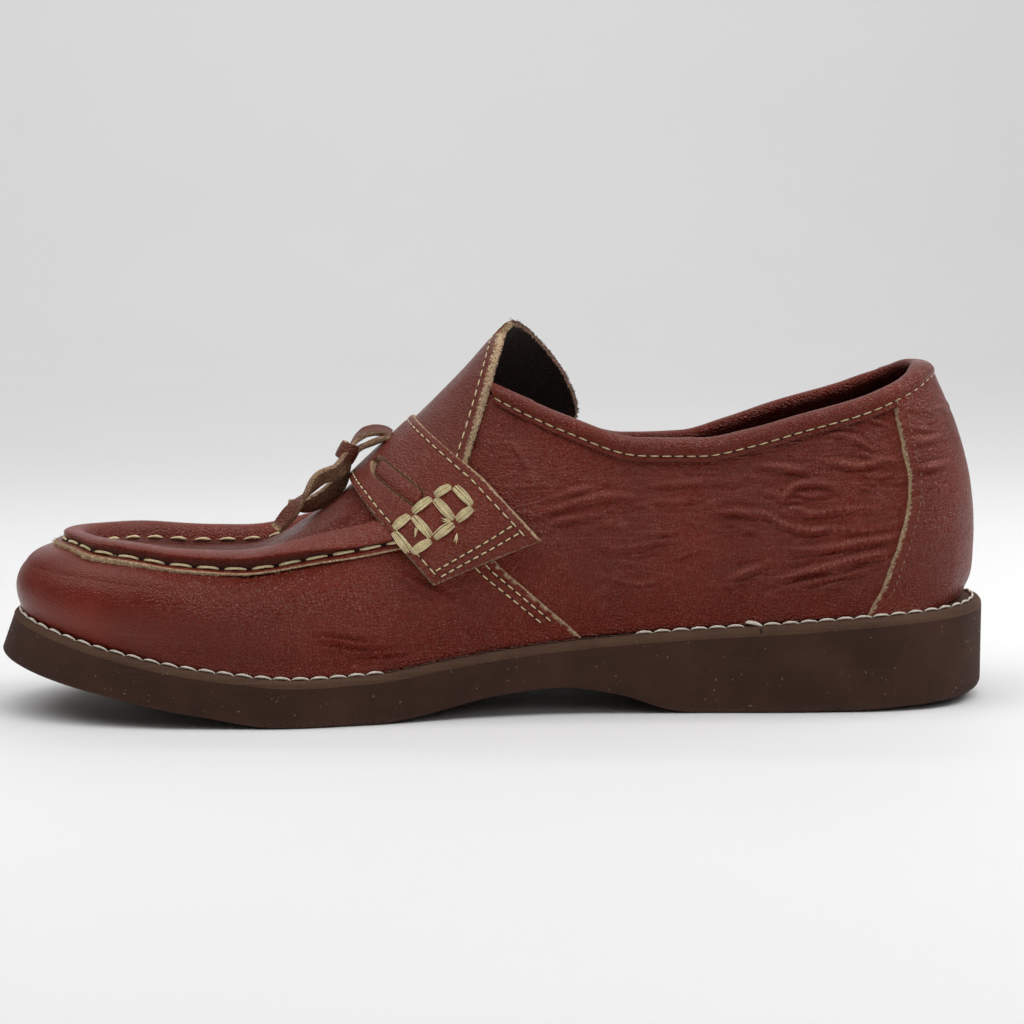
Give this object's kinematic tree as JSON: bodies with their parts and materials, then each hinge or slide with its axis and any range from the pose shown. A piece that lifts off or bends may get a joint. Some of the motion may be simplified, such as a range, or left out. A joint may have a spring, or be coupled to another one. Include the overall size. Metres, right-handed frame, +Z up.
{
  "type": "loafer",
  "caption": "Slip-on leather loafer with a hand-sewn apron toe, an instep strap with a leather bow, a free tongue and a sponge-rubber sole.",
  "frame": {"origin": "on the floor, under the middle of the sole's length and width", "axes": "+Z up, -X towards the toe, +X towards the heel, -Y towards the inner side of the foot"},
  "size_m": [0.285, 0.1009, 0.1102],
  "materials": {
    "sole_rubber": "matte dark brown sponge rubber",
    "midsole_leather": "bare cut edge, dry brown",
    "insole_leather": "dull grey-brown lining leather",
    "upper_leather": "oxblood pebble grain with a soft satin sheen",
    "strap_leather": "oxblood pebble grain with tan cut edges",
    "lace_leather": "thin brown lace leather with a suede back"
  },
  "bodies": {
    "root": {"outsole": "sole_rubber", "midsole": "midsole_leather", "insole": "insole_leather", "upper": "upper_leather", "apron_roll": "upper_leather", "saddle_strap": "strap_leather", "tongue": "strap_leather", "heel_counter": "upper_leather", "collar_binding": "upper_leather", "lace_bar_inner": "lace_leather", "lace_bar_outer": "lace_leather", "lace_loop": "lace_leather", "lace_knot": "lace_leather", "lace_tail_a": "lace_leather", "lace_tail_b": "lace_leather"}
  },
  "joints": []
}
